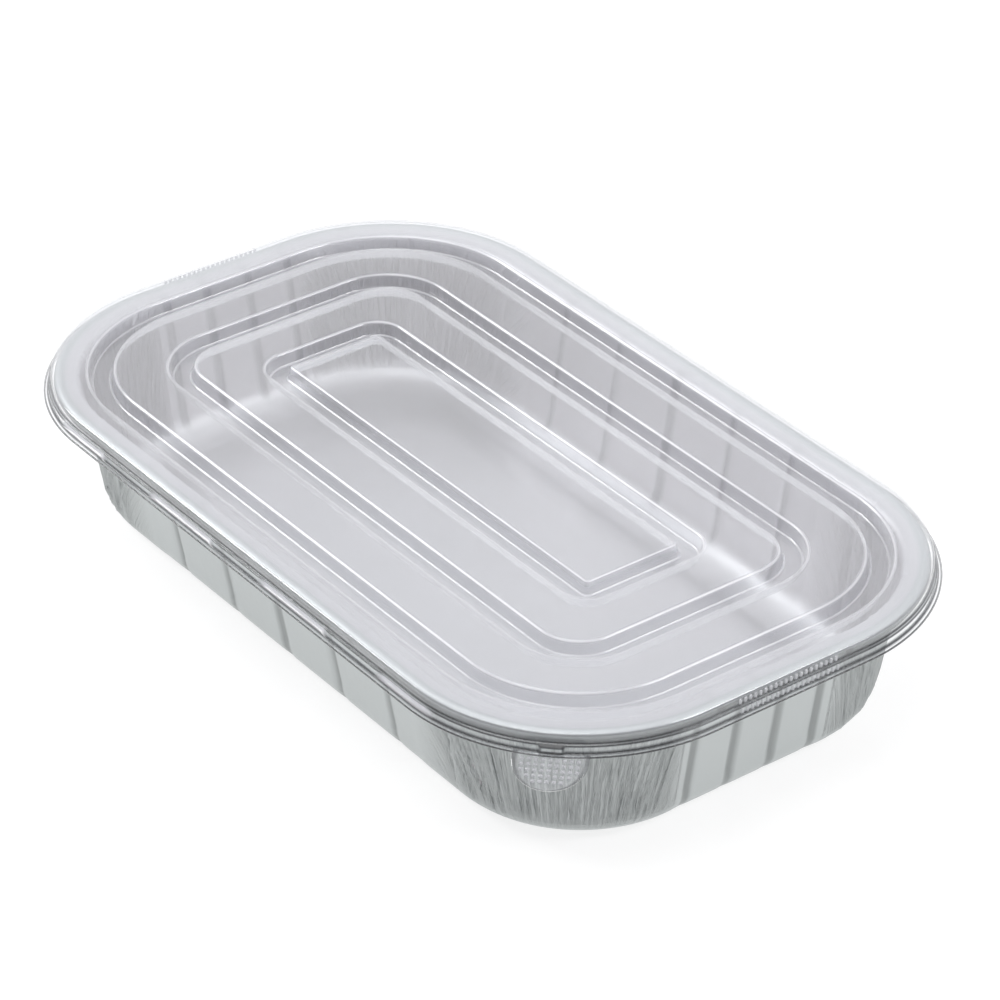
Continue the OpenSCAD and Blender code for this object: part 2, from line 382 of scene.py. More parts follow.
angle = np.radians(np.arange(-158, 124, 22.5))
curl_line = np.stack([
    curl_w / 2 - curl_w / 2 * np.cos(angle),
    tray_h - curl_h / 2 + curl_h / 2 * np.sin(angle),
], 1)
outside = wall_line(inner=False)
inside = wall_line(inner=True)[::-1]
base_line = np.array([[panel_inset, base_rise]])
floor_line = np.array([[panel_inset, base_rise + foil_t]])
profile = np.vstack([base_line, outside, curl_line, inside, floor_line])
curl_from = len(base_line) + len(outside)
curl_to = curl_from + len(curl_line)
on_flange = np.clip((wall_inset - profile[:, 0]) / flange_w, 0, 1)
gain = np.where(profile[:, 1] < 1e-6, 0, 1.0) * (1 - 0.8 * on_flange)
gain[[0, -1, -2]] = 0
gain[curl_from:curl_to] = 0.08
print("tray profile", len(profile), "points")

# %% [markdown]
# The surface is the profile at every station, with the pressed depth taken off its distance from
# the corner's centre. The base and the floor are closed by rings that shrink to the middle.

# %% Surface of the tray
shrink = np.linspace(0, 1, 6)[:-1]


def towards_middle(z):
    """Rings of the base panel's outline from the middle outwards, at one height."""
    z = np.array([z])
    ring_r = rim_r - panel_inset
    return np.concatenate([
        tray_path.carry(corner_x * s, corner_y * s, np.full((1, 1), ring_r * s), z) for s in shrink
    ], 1)


def tray_points():
    """The profile carried round the rim's rectangle, less the pressed depth, closed to the middle."""
    inset, height = profile.T
    depth = pressed_in(tray_path, height) * gain
    body = tray_path.carry(corner_x, corner_y, rim_r - inset[None] - depth, height)
    bottom = towards_middle(base_rise)
    floor = towards_middle(base_rise + foil_t)[:, ::-1]
    return np.concatenate([bottom, body, floor], 1)


tray_surface = tray_points()
print("tray surface", tray_surface.shape)

# %% [markdown]
# The finest creases are left to the finish, so each point carries a few values: where it lies
# along a corner and up its wall, how strongly the creases show there, whether it lies in a flute,
# on the rim's bead or on the inside. The finish turns them into bump, into painted shade in the
# flutes, the pleats and on the bead, and into painted light on the inside.

# %% Marks for the foil's finish
groove_half, groove_edge = 1.2, 0.6
crease_spread = 0.2


def tray_marks(points):
    """The values for the finish; along is the distance on a corner, led down with the pleats' lean."""
    height = points[..., 2]
    rise = np.clip(height / wall_top, 0, 1) - 0.5
    k, place = tray_path.side[:, None], tray_path.along[:, None]
    turn = np.where(k < 0, np.degrees(tray_path.angle)[:, None] % 90 - 45, 0)
    turn = np.where((k < 0) & (place > 89.9), 45, turn)
    long_side = (k >= 0) & (k % 2 == 1)
    to_end = (1 - np.abs(place)) * corner_x
    arc = np.where(long_side, (half_run + to_end) * -np.sign(place), np.radians(turn) * reach)
    long_after = np.where(long_side, np.sign(arc), np.where(k % 2 == 1, 1, -1))
    spread = arc * (1 - crease_spread * rise) - lean(arc, long_after) * (height - wall_top)
    strength = np.where(k < 0, window(turn, -44, 44, 9), 0)
    strength = np.where(long_side, np.clip(1 - to_end / pleat_run, 0, 1), strength)
    strength = strength * window(height, 4.5, wall_top - 2.0, 6.0)
    x, y = (v[:, None] for v in straight_places(tray_path))
    groove = sum(window(x, f - groove_half, f + groove_half, groove_edge) for f in long_flutes)
    groove = groove + sum(window(y, f - groove_half, f + groove_half, groove_edge) for f in end_flutes)
    past = np.maximum(np.abs(points[..., :2]) - [corner_x, corner_y], 0)
    inset = rim_r - np.hypot(past[..., 0], past[..., 1])
    within = np.zeros_like(height)
    within[:, shrink.size + curl_to:] = 1
    return {
        "along": spread + k * 100.0,
        "high": height,
        "pleated": strength,
        "groove": groove * window(height, 3.0, wall_top + 0.5, 3.0),
        "rim": window(inset, -2.0, 1.4, 0.8) * window(height, tray_h - 9, tray_h - 0.7, 0.8),
        "inside": within * (0.6 + 0.4 * window(height, 4.0, wall_top, 4.0)),
    }


tray = sheet_piece("pressed_foil", tray_surface, "tray", "foil_tray", tray_marks(tray_surface))

# %% [markdown]
# ## The clear lid
# The lid is drawn from a flat sheet over a mould, so its profile has soft edges everywhere: three
# channels, a rounded outer edge, a skirt in two steps and a thin lip. The same path carries the
# whole profile. Nearer the middle the rectangle that the profile follows gets smaller, so the
# innermost channel has its own tight corners. The channels' bends have radii of 0.8 to 1.3 mm,
# because clear sheet doesn't follow a sharper mould.

# %% Profile of the lid
lid_t = 0.4
fit_gap = 0.3
skirt_h, hook_h, ledge_w, lip_w = 2.5, 1.8, 0.7, 1.1
first_channel, channel_pitch = 9.6, 20.7
channel_w, channel_d, channel_draft = 6.4, 3.6, 0.9
shoulder_r, channel_foot_r, arc_points = 1.3, 0.8, 8
outer_end, inner_start, middle_end = 4.0, 3.0, 0.15
panel_r = 1.2
edge_r = rim_r + fit_gap + lid_t
wall_draft, ledge_drop, lip_drop, lip_edge = 0.15, 0.3, 0.3, 0.4
hook_r = edge_r + wall_draft + ledge_w
hook_z = lid_z - skirt_h - ledge_drop
lip_r = hook_r + wall_draft + lip_w
lip_z = hook_z - hook_h - lip_drop
inner_r = panel_r + channel_w
shift = edge_r - first_channel - 2 * channel_pitch - inner_r
inner_x, inner_y = corner_x + shift, corner_y + shift


def channel(r, last=shoulder_r):
    """One channel as profile corners: two soft shoulders and two tighter bends at the floor."""
    floor = lid_z - channel_d
    return [
        [r, lid_z, shoulder_r],
        [r - channel_draft, floor, channel_foot_r],
        [r - channel_w + channel_draft, floor, channel_foot_r],
        [r - channel_w, lid_z, last],
    ]


def lid_lines():
    """The top's profile as [radius, height]: lip to second channel, and the innermost channel."""
    outer = rounded(
        [
            [lip_r, lip_z - lip_edge, 0],
            [lip_r, lip_z, 0.15],
            [hook_r + wall_draft, lip_z + lip_drop, 0.3],
            [hook_r, hook_z, 0.35],
            [edge_r + wall_draft, hook_z + ledge_drop, 0.3],
            [edge_r, lid_z, 1.0],
        ]
        + channel(edge_r - first_channel)
        + channel(edge_r - first_channel - channel_pitch)
        + [[outer_end, lid_z, 0]],
        arc_points,
    )
    well = [[inner_r + inner_start, lid_z, 0]] + channel(inner_r, 0.8) + [[middle_end, lid_z, 0]]
    return outer, rounded(well, arc_points)


def fuller(line, longest):
    """The same line with points added wherever two lie further apart than longest."""
    parts = [line[:1]]
    for a, b in zip(line, line[1:]):
        count = max(1, int(np.ceil(np.linalg.norm(b - a) / longest)))
        parts.append(a + (b - a) * np.arange(1, count + 1)[:, None] / count)
    return np.concatenate(parts)


def fuller_skirt(line):
    """The outer line with its skirt's rows no further apart than the dents' soft edges need."""
    skirt = line[:, 0] > edge_r - 0.01
    return np.vstack([fuller(line[skirt], 0.22), line[~skirt]])


outer, inner = lid_lines()
outer = fuller_skirt(outer)
print("lid profile", len(outer) + len(inner), "points")

# %% [markdown]
# The lid's stations lie closest at the ends of the dents and beside the stop above the tab, where
# the skirt steps in or out. On the plain stretches few are needed.

# %% Stations of the lid
snap_x, snap_l = 24.0, 26.0
end_snap_from, end_snap_to = 59.5, 78.0
middle_ends = [snap_x - snap_l / 2, snap_x + snap_l / 2, end_snap_from]
dent_ends = np.array([-x for x in middle_ends[::-1]] + middle_ends)[:, None] + np.linspace(-1.8, 1.8, 7)
even_turn = np.linspace(0, 90, 37)
tab_turn = np.unique(np.concatenate([even_turn, 45 + np.linspace(-4.2, 4.2, 15)]))
lid_path = Path(
    long_side=np.unique(np.concatenate([np.linspace(-1, 1, 25), dent_ends.ravel() / corner_x]))[1:-1],
    short_side=np.linspace(-1, 1, 8)[1:-1],
    corners=[even_turn] * 3 + [tab_turn],
)
print("lid", lid_path.kx.size, "stations")

# %% [markdown]
# The dents that snap under the rim and the stop above the tab are bulges of the same sheet, so
# they are added to the radius of the skirt's lower wall, on both faces of the sheet at once. The
# dents near the ends run on round the corners, so they are placed by distance along the skirt.

# %% Dents and stop
snap_d = 0.8
stop_w, stop_d = 5.6, 0.7
tab_corner = 3
elsewhere = 999.0


def tab_arc(path):
    """Distance in mm along the skirt from the tab's middle; far away on other corners and sides."""
    return np.where(path.side == -1 - tab_corner, np.radians(path.along - 45) * hook_r, elsewhere)


def skirt_push(path, height):
    """Outward push of the lower wall: dents are negative, the stop above the tab is positive."""
    long_side = (path.side >= 0) & (path.side % 2 == 1)
    beside_long = np.abs(path.normal[:, 1]) * (path.side < 0)
    bent_x = corner_x + hook_r * np.arccos(np.clip(beside_long, 0, 1))
    x = np.where(long_side, np.abs(path.along) * corner_x, np.where(path.side < 0, bent_x, elsewhere))
    dents = window(x, snap_x - snap_l / 2, snap_x + snap_l / 2, 3.0)
    dents = dents + window(x, end_snap_from, end_snap_to, 3.0)
    stop = window(tab_arc(path), -stop_w / 2, stop_w / 2, 0.8)
    level = np.clip((height - (hook_z - hook_h)) / hook_h, 0, 1)[None]
    above_lip = height > lip_z + 0.1
    band = np.where(above_lip & (height < hook_z + 0.1), np.sin(math.pi * level) ** 0.7, 0)
    block = np.where(above_lip & (height < hook_z - 0.05), 1.0, 0)
    return stop_d * stop[:, None] * block - snap_d * dents[:, None] * band


# %% [markdown]
# Stretching makes clear sheet milky: the channels' walls are thinner and cloudier than the flat
# top. The white lines at their tight bends and the nearly white dents are painted highlights,
# carried by the same milkiness. Where a bend turns the light away from the eye, a painted dark
# line shows instead. Both are values from 0 to 1 on every point, worked out from the distance
# to the bends of the profile.

# %% Haze, painted highlights and painted dark lines
milk_flat, milk_walls, milk_skirt = 0.14, 0.08, 0.04
# Painted highlights: white lines at the channels' bends and nearly white dents.
shoulder_painted_highlight, foot_painted_highlight, dent_painted_highlight = 0.55, 0.4, 0.9
# Width and strength of the painted dark lines at the skirt's bends and the deck's edge.
dark_width, dark_deck = 0.28, 0.3


def lines_at(line, bends, width):
    """1 on the row nearest to each bend, falling to 0 over the width on both sides."""
    gap = np.linalg.norm(line[:, None] - np.array(bends)[None], axis=-1)
    return np.clip(1 - (gap - gap.min(0)) / width, 0, 1).max(1)


def channel_white(line, *radii):
    """How milky the top is: flat sheet, more on channel walls, and a painted highlight at every bend."""
    floor = lid_z - channel_d
    shoulders = [[r - w, lid_z] for r in radii for w in (0, channel_w)]
    feet = [[r - w, floor] for r in radii for w in (channel_draft, channel_w - channel_draft)]
    plain = milk_flat + milk_walls * window(line[:, 1], floor + 0.5, lid_z - 0.5 - lid_t, 0.6)
    lines = np.maximum(
        shoulder_painted_highlight * lines_at(line, shoulders, 0.4),
        foot_painted_highlight * lines_at(line, feet, 0.35),
    )
    return np.maximum(plain, lines)


def outer_haze_and_highlights(path, line):
    """How milky the outer part is: its channels, a nearly clear skirt and painted highlights on the dents.
    """
    height = line[:, 1]
    skirt = (line[:, 0] > edge_r - 0.9) & (height < lid_z - 0.9)
    dents = np.clip(-skirt_push(path, height) / snap_d, 0, 1) * skirt
    low_half = np.clip((hook_z - 0.25 * hook_h - height) / 0.3, 0, 1)
    outer_r = edge_r - first_channel
    top = channel_white(line, outer_r, outer_r - channel_pitch)
    return np.where(skirt, milk_skirt, top) + dent_painted_highlight * np.sqrt(dents) * low_half


def bent(path, line):
    """Painted dark where light is turned away: the lip's edge, the skirt's tight bends and the stop's rims.
    """
    tight = [
        [lip_r, lip_z - lip_edge / 2],
        [hook_r + wall_draft, lip_z + lip_drop],
        [hook_r, hook_z],
        [edge_r + wall_draft, hook_z + ledge_drop],
    ]
    deck_edge = [[edge_r, lid_z - 0.5]]
    dark = np.maximum(lines_at(line, tight, dark_width), dark_deck * lines_at(line, deck_edge, dark_width))
    arc = tab_arc(path)
    on_stop = window(arc, -stop_w / 2 - 0.2, stop_w / 2 + 0.2, 0.3)[:, None]
    side_line = window(np.abs(arc), stop_w / 2 - 0.5, stop_w / 2 + 0.2, 0.2)[:, None]
    height = line[:, 1][None]
    on_wall = (height > lip_z + lip_drop) & (height < hook_z + 0.15) & (line[:, 0] > edge_r)[None]
    upper = np.clip((height - (hook_z - 0.55)) / 0.15, 0, 1)
    lower = np.clip((hook_z - hook_h + 0.35 - height) / 0.15, 0, 1)
    stop_rims = np.maximum(on_stop * np.maximum(upper, lower), side_line * 0.6)
    return np.maximum(dark[None], on_wall * stop_rims)


# %% [markdown]
# The sheet has two faces, the top and the same profile moved in by the thickness. The outer part
# follows the rim's rectangle and the inner channel a smaller one, so that its corners are tight.
# The middle panel closes on the line between the centres of its two short sides.

# %% Both faces of the lid


def lid_face(thick):
    """Points, haze and painted light and dark of one face, from the lip to the middle of the top."""
    a, b = beside(outer, thick), beside(inner, thick)
    push = skirt_push(lid_path, a[:, 1]) * (a[:, 0] > edge_r - lid_t)
    middle = np.zeros((1, 1)), b[-1:, 1]
    points = np.concatenate([
        lid_path.carry(corner_x, corner_y, a[:, 0] + push, a[:, 1]),
        lid_path.carry(inner_x, inner_y, b[None, :, 0], b[:, 1]),
        lid_path.carry(inner_x - inner_y / 2, inner_y / 2, *middle),
        lid_path.carry(inner_x - inner_y, 0.0, *middle),
    ], 1)
    white = np.full(points.shape[:2], milk_flat)
    white[:, :len(a)] = outer_haze_and_highlights(lid_path, a)
    white[:, len(a):-2] = channel_white(b, inner_r)
    dark = np.zeros(points.shape[:2])
    dark[:, :len(a)] = bent(lid_path, a)
    return points, white, dark


def lid_points():
    """Both faces of the sheet: the top from the middle out to the lip, then the underside back."""
    top, under = lid_face(0), lid_face(-lid_t)
    return [np.concatenate([t[:, ::-1], u], 1) for t, u in zip(top, under)]


lid_surface, lid_haze_and_highlight, lid_bent = lid_points()
lid = sheet_piece("clear_lid", lid_surface, "lid", "lid", {"haze_and_highlight": lid_haze_and_highlight, "bent": lid_bent})

# %% [markdown]
# ## Grip ribs
# Fine upright ribs cross both short ends of the skirt, on its upper and its lower wall, where
# fingers press it home. Each is a half-round bar that tapers into the wall at both ends, as a
# drawn rib does, because a mould can't hold a sharp one.

# %% Grip ribs
grip_count, grip_pitch, grip_r = 20, 1.5, 0.42
grip_taper, upper_step = 0.25, 0.08
grip_dark = 0.45


def ribs_mesh(name):
    """Bars: a fan of angles at four heights, tapered at both ends, on both walls and both ends."""
    fan = np.radians(np.linspace(-100, 100, 9))
    taper = np.array([[0.0], [1.0], [1.0], [0.0]])
    places = (np.arange(grip_count) - (grip_count - 1) / 2) * grip_pitch
    starts = np.stack([np.full(grip_count, corner_x), places, np.zeros(grip_count)], 1)
    bars = []
    for wall_r, low, high in (
        (hook_r, hook_z - hook_h + 0.1, hook_z - 0.15),
        (edge_r + upper_step, hook_z + ledge_drop + 0.1, lid_z - 1.0),
    ):
        rows = np.array([low, low + grip_taper, high - grip_taper, high])
        one = np.stack([
            wall_r + (0.02 + grip_r * np.cos(fan))[None] * taper,
            np.broadcast_to(grip_r * np.sin(fan), (4, fan.size)),
            np.broadcast_to(rows[:, None], (4, fan.size)),
        ], -1)
        bars.append(one[None] + starts[:, None, None])
    bars = np.concatenate(bars)
    bars = np.concatenate([bars, bars * [-1, -1, 1]])
    i, j = np.meshgrid(np.arange(3), np.arange(fan.size - 1), indexing="ij")
    a = (i * fan.size + j).ravel()
    front = np.stack([a, a + 1, a + fan.size + 1, a + fan.size], 1)
    back = np.array([[fan.size - 1, 2 * fan.size - 1, fan.size, 0]]) + np.arange(3)[:, None] * fan.size
    caps = np.stack([np.arange(fan.size)[::-1], 3 * fan.size + np.arange(fan.size)])
    first = np.arange(len(bars))[:, None, None] * 4 * fan.size
    faces = [
        face for part in (front, back, caps)
        for face in (part + first).reshape(-1, part.shape[1]).tolist()
    ]
    # The ribs' flanks carry a painted dark line, their crests none.
    dark = np.tile(np.abs(np.linspace(-grip_dark, grip_dark, fan.size)), 4 * len(bars))
    return clear_piece(name, bars, faces, dark)


ribs = ribs_mesh("grip_ribs")
ribs.data.shade_smooth()

# %% [markdown]
# ## The pull tab
# The tab is a flat tongue that slopes down from the lip at one corner, with rows of small raised
# points that stop a wet finger slipping. The points are square pyramids, all in one mesh, kept
# where they fit inside the tab's outline.

# %% The pull tab and its grip points
tab_w, tab_l, tab_slope = 17.6, 10.0, math.radians(14)
tab_rim_w, tab_rim_h, tab_dark = 0.6, 0.22, 0.35
tab_root = hook_r + wall_draft
tab_reach = lip_w + tab_l
dot_pitch, dot_w, dot_h, dot_sunk = 1.6, 1.0, 0.35, 0.05
dot_from, dot_margin, dot_dark = 2.2, 0.9, 0.7


def on_tab(points):
    """(out, across, above) in mm on the tab to the tray's frame: slope, then turn to the corner."""
    out, across, above = np.moveaxis(np.asarray(points, float), -1, 0)
    c, s = math.cos(tab_slope), math.sin(tab_slope)
    r = tab_root + out * c + above * s
    z = lip_z + lip_drop - out * s + above * c
    d = math.sqrt(0.5)
    return np.stack([corner_x + (r + across) * d, -corner_y - (r - across) * d, z], -1)


def tab_half_width(out):
    """Straight at first, then a half circle of the tab's own width."""
    round_from = tab_reach - tab_w / 2
    past = np.clip(out - round_from, 0, tab_w / 2)
    return np.sqrt(np.maximum((tab_w / 2) ** 2 - past**2, 0))


def tab_mesh():
    """Rows from root to tip, each closed round the plate's edge with a rounded rim."""
    straight = np.linspace(0, tab_reach - tab_w / 2, 4)[:-1]
    turned = tab_reach - tab_w / 2 * (1 - np.sin(np.linspace(0, math.pi / 2, 22)))
    out = np.concatenate([straight, turned])
    across = np.linspace(-1, 1, 25)
    half = tab_half_width(out)[:, None]
    rim = tab_rim_h * np.clip(1 - (1 - np.abs(across))[None] * half / tab_rim_w, 0, 1)
    top = np.stack([np.broadcast_to(out[:, None], rim.shape), half * across, rim], -1)
    under = np.stack([top[..., 0], top[..., 1], np.full_like(rim, -lid_t)], -1)
    loop = np.concatenate([top, under[:, ::-1]], 1)
    n, m = loop.shape[:2]
    i, j = np.meshgrid(np.arange(n - 1), np.arange(m), indexing="ij")
    a, b = (i * m + j).ravel(), (i * m + (j + 1) % m).ravel()
    faces = np.stack([a, b, b + m, a + m], 1).tolist() + [list(range(m))[::-1]]
    # The plate's side edges carry a painted dark line.
    at_edge = np.abs(np.concatenate([across, across[::-1]])) > 0.9
    return clear_piece("pull_tab", on_tab(loop), faces, np.broadcast_to(tab_dark * at_edge, (n, m)))


def dots_mesh():
    """Square pyramids on a grid, kept where they fit inside the tab's outline."""
    rows, columns = np.arange(dot_from, tab_reach, dot_pitch), np.arange(-5, 6) * dot_pitch
    out, across = (v.ravel() for v in np.meshgrid(rows, columns, indexing="ij"))
    keep = np.abs(across) < tab_half_width(out + dot_margin) - dot_margin
    base = np.stack([out[keep], across[keep], np.full(keep.sum(), -dot_sunk)], 1)
    corner = np.array([[-1, -1, 0], [1, -1, 0], [1, 1, 0], [-1, 1, 0]]) * [dot_w / 2, dot_w / 2, 0]
    ring = base[:, None] + corner[None]
    tip = base[:, None] + [0, 0, dot_h]
    points = np.concatenate([ring, tip], 1)
    start = (np.arange(len(base)) * 5)[:, None, None]
    sides = np.array([[0, 1, 4], [1, 2, 4], [2, 3, 4], [3, 0, 4]])[None] + start
    floor = np.array([[3, 2, 1, 0]]) + start[:, 0]
    faces = sides.reshape(-1, 3).tolist() + floor.tolist()
    # The points' feet carry a painted dark line, their tips none.
    foot_dark = np.tile([dot_dark] * 4 + [0.0], len(base))
    return clear_piece("tab_grip_points", on_tab(points), faces, foot_dark)


tab = tab_mesh()
tab.data.shade_smooth()
dots = dots_mesh()

# %% [markdown]
# ## Finishes
# A material here is a small graph. `Wire` wraps one socket, so arithmetic on it adds Math nodes,
# and `Finish.node` adds any other node with its settings and its inputs.

# %% Shader helpers


class Wire:
    """One output socket in a material; arithmetic on it adds Math nodes."""

    def __init__(self, finish, socket):
        self.finish, self.socket = finish, socket

    def math(self, operation, a, b):
        """A Math node on two values or wires."""
        return self.finish.node("ShaderNodeMath", {"operation": operation}, {0: a, 1: b})

    def __add__(self, other):
        return self.math("ADD", self, other)

    def __sub__(self, other):
        return self.math("SUBTRACT", self, other)

    def __rsub__(self, other):
        return self.math("SUBTRACT", other, self)

    def __mul__(self, other):
        return self.math("MULTIPLY", self, other)

    __radd__, __rmul__ = __add__, __mul__

    def power(self, exponent):
        """This value raised to an exponent."""
        return self.math("POWER", self, exponent)


class Finish:
    """A material built from nodes; inputs are given by name or number, as a value or a Wire."""

    def __init__(self, name):
        self.material = bpy.data.materials.new(name)
        self.material.use_nodes = True
        self.tree = self.material.node_tree
        self.tree.nodes.clear()

    def node(self, kind, settings=None, inputs=None, out=0):
        """Adds one node with its settings and inputs, and gives one of its outputs."""
        made = self.tree.nodes.new(kind)
        for key, value in (settings or {}).items():
            setattr(made, key, value)
        for key, value in (inputs or {}).items():
            if isinstance(value, Wire):
                self.tree.links.new(value.socket, made.inputs[key])
            else:
                made.inputs[key].default_value = value
        return Wire(self, made.outputs[out]) if made.outputs else made

    def place(self):
        """Where a point lies on the piece, in metres."""
        return self.node("ShaderNodeTexCoord", out="Object")

    def value(self, name):
        """A value stored on the mesh's points."""
        return self.node("ShaderNodeAttribute", {"attribute_name": name}, out="Fac")

    def stretched(self, scale):
        """The place with each axis multiplied, for a pattern that is longer one way."""
        return self.node("ShaderNodeMapping", inputs={"Vector": self.place(), "Scale": scale})

    def noise(self, vector, scale, detail=2.0, rough=0.5):
        """A soft random value from 0 to 1, with lumps of about 1 / scale in the vector's unit."""
        return self.node("ShaderNodeTexNoise", inputs={
            "Vector": vector, "Scale": scale, "Detail": detail, "Roughness": rough}, out="Fac")

    def between(self, factor, a, b):
        """A colour between a and b."""
        return self.node("ShaderNodeMix", {"data_type": "RGBA"}, {0: factor, 6: a, 7: b}, out=2)

    def bump(self, height, distance, strength=1.0, normal=None):
        """A surface tilted as if the height, times the distance in metres, stood on it."""
        inputs = {"Height": height, "Distance": distance, "Strength": strength}
        if normal:
            inputs["Normal"] = normal
        return self.node("ShaderNodeBump", inputs=inputs)

    def finish(self, shader, *pieces):
        """Ends the graph with a shader and puts the material on the pieces."""
        self.node("ShaderNodeOutputMaterial", inputs={"Surface": shader})
        self.dress(*pieces)
        print("finish", self.material.name, len(self.tree.nodes), "nodes")

    def dress(self, *pieces):
        """Puts the material on the pieces, in place of any other."""
        for piece in pieces:
            piece.data.materials.clear()
            piece.data.materials.append(self.material)


# %% [markdown]
# **Foil.** Rolled aluminium is bright but not a mirror: the rollers leave very fine streaks and
# pressing leaves soft hollows, so reflections are smeared more in some places than in others.
# The finest creases between the pleats are bump only. The bottoms of the flutes carry painted
# shade, since they see little light, and so do the pleated corners. The rim's bead is painted
# darker, which dims its highlight, and the inside is painted brighter, since its walls light
# each other.

# %% Foil finish
hollow_height, crease_height = 0.0004, 0.0022
creases_per_mm, creases_up = 0.75, 0.045
streak_scale = 900, 900, 60
roughest, smoothest = 0.56, 0.4
flute_painted_shade, pleat_painted_shade, rim_painted_shade = 0.38, 0.2, 0.28
foil_dim, foil_bright = (0.49, 0.515, 0.515, 1), (0.56, 0.585, 0.585, 1)
inside_painted_light = (0.66, 0.645, 0.665, 1)

foil = Finish("pressed_foil")
along, high = foil.value("along"), foil.value("high")
pleated, groove = foil.value("pleated"), foil.value("groove")
pleat_place = foil.node("ShaderNodeCombineXYZ", inputs={
    "X": along * creases_per_mm, "Y": high * creases_up})
pleats = foil.node("ShaderNodeTexNoise", {"noise_dimensions": "2D"}, {
    "Vector": pleat_place, "Scale": 1.0, "Detail": 3.0, "Roughness": 0.6, "Distortion": 0.5}, out="Fac")
streaks = foil.noise(foil.stretched(streak_scale), 1.0, 3.0)
hollows = foil.noise(foil.place(), 120.0, 3.0, 0.6)
patches = foil.noise(foil.place(), 28.0, 2.0)
soft_bump = foil.bump(hollows + streaks * 0.15, hollow_height, 0.5)
foil_bump = foil.bump(pleats * pleated, crease_height, 1.0, soft_bump)
# Painted shade in the flutes, the pleats and on the rim's bead; painted light on the inside.
shade = 1 - groove * flute_painted_shade - pleated * pleat_painted_shade - foil.value("rim") * rim_painted_shade
outer_colour = foil.between(patches, foil_dim, foil_bright)
foil_colour = foil.node("ShaderNodeVectorMath", {"operation": "SCALE"}, {
    0: foil.between(foil.value("inside"), outer_colour, inside_painted_light), "Scale": shade})
foil_shader = foil.node("ShaderNodeBsdfPrincipled", inputs={
    "Base Color": foil_colour,
    "Metallic": 1.0,
    "Roughness": smoothest + patches * (roughest - smoothest),
    "Normal": foil_bump,
})
foil.finish(foil_shader, tray)

# %% [markdown]
# ** Clear sheet.** Thin clear plastic hardly bends light. What shows is a mirror gloss that grows
# at flat angles, and a faint haze. A glass shader would leave the foil under it dark, so a
# transparent shader is mixed with a mirror-like one, by a curve that starts at 5 per cent and
# reaches 1 edge on. Layer Weight gives the same on both faces of the sheet, where Fresnel would
# turn the inner face into a full mirror. Drawing leaves soft waves in the sheet, so its
# reflections wander a little. The haze scatters half of its light back and half onwards, so it
# also glows with what lies behind; its amount also carries the painted highlights. Where the
# sheet bends tightly, a darker transparent shader takes over as a painted dark line.

# %% Clear finish
clear_tint, bend_painted_dark = (0.97, 0.975, 0.98, 1), (0.17, 0.18, 0.19, 1)
milk_tint = (0.93, 0.93, 0.96, 1)
head_on_gloss, sheet_roughness = 0.05, 0.11


def clear_finish(name, haze_and_highlight, wave_size, wave_depth):
    """Clear sheet: haze_and_highlight is milk plus painted highlights, or None for the points' own; waves
    in metres.
    """
    clear = Finish(name)
    waves = clear.noise(clear.place(), 1 / wave_size, 1.5)
    ripple = clear.bump(waves, wave_depth, 1.0)
    mirror = clear.node("ShaderNodeBsdfPrincipled", inputs={
        "Base Color": (1, 1, 1, 1), "Metallic": 1.0, "Roughness": sheet_roughness, "Normal": ripple})
    straight = clear.node("ShaderNodeBsdfTransparent", inputs={"Color": clear_tint})
    # Painted dark line: a dark transparent shader where the sheet is bent.
    turned = clear.node("ShaderNodeBsdfTransparent", inputs={"Color": bend_painted_dark})
    through = clear.node("ShaderNodeMixShader", inputs={0: clear.value("bent"), 1: straight, 2: turned})
    front = clear.node("ShaderNodeBsdfDiffuse", inputs={"Color": milk_tint})
    behind = clear.node("ShaderNodeBsdfTranslucent", inputs={"Color": milk_tint})
    milk = clear.node("ShaderNodeMixShader", inputs={0: 0.5, 1: front, 2: behind})
    edge_on = clear.node("ShaderNodeLayerWeight", inputs={"Blend": 0.5, "Normal": ripple}, out="Facing")
    gloss = head_on_gloss + edge_on.power(4.0) * (1 - head_on_gloss)
    patch = clear.noise(clear.place(), 30.0, 2.0)
    amount = clear.value("haze_and_highlight") if haze_and_highlight is None else haze_and_highlight
    body = clear.node("ShaderNodeMixShader", inputs={
        0: (0.7 + patch * 0.6) * amount, 1: through, 2: milk})
    clear.finish(clear.node("ShaderNodeMixShader", inputs={0: gloss, 1: body, 2: mirror}))
    return clear


small_waves = 0.02, 0.0002
clear_finish("clear_sheet", None, 0.045, 0.00015).dress(lid)
clear_finish("clear_ribs", 0.5, *small_waves).dress(ribs)
clear_finish("clear_tab", 0.03, *small_waves).dress(tab)
clear_finish("clear_points", 0.4, *small_waves).dress(dots)

# %% [markdown]
# ## Camera, floor and light
# The camera was solved from the lid's channels in the photograph: its direction and distance are
# the photograph's own. It looks at the middle of the lid, moved a little to frame the tray.

# %% Camera
view_azimuth, view_elevation, view_roll = 53.49, 32.78, -0.4
view_distance = 1043.5
view_right, view_up = 5.69, -11.98
focal_length = 151.67


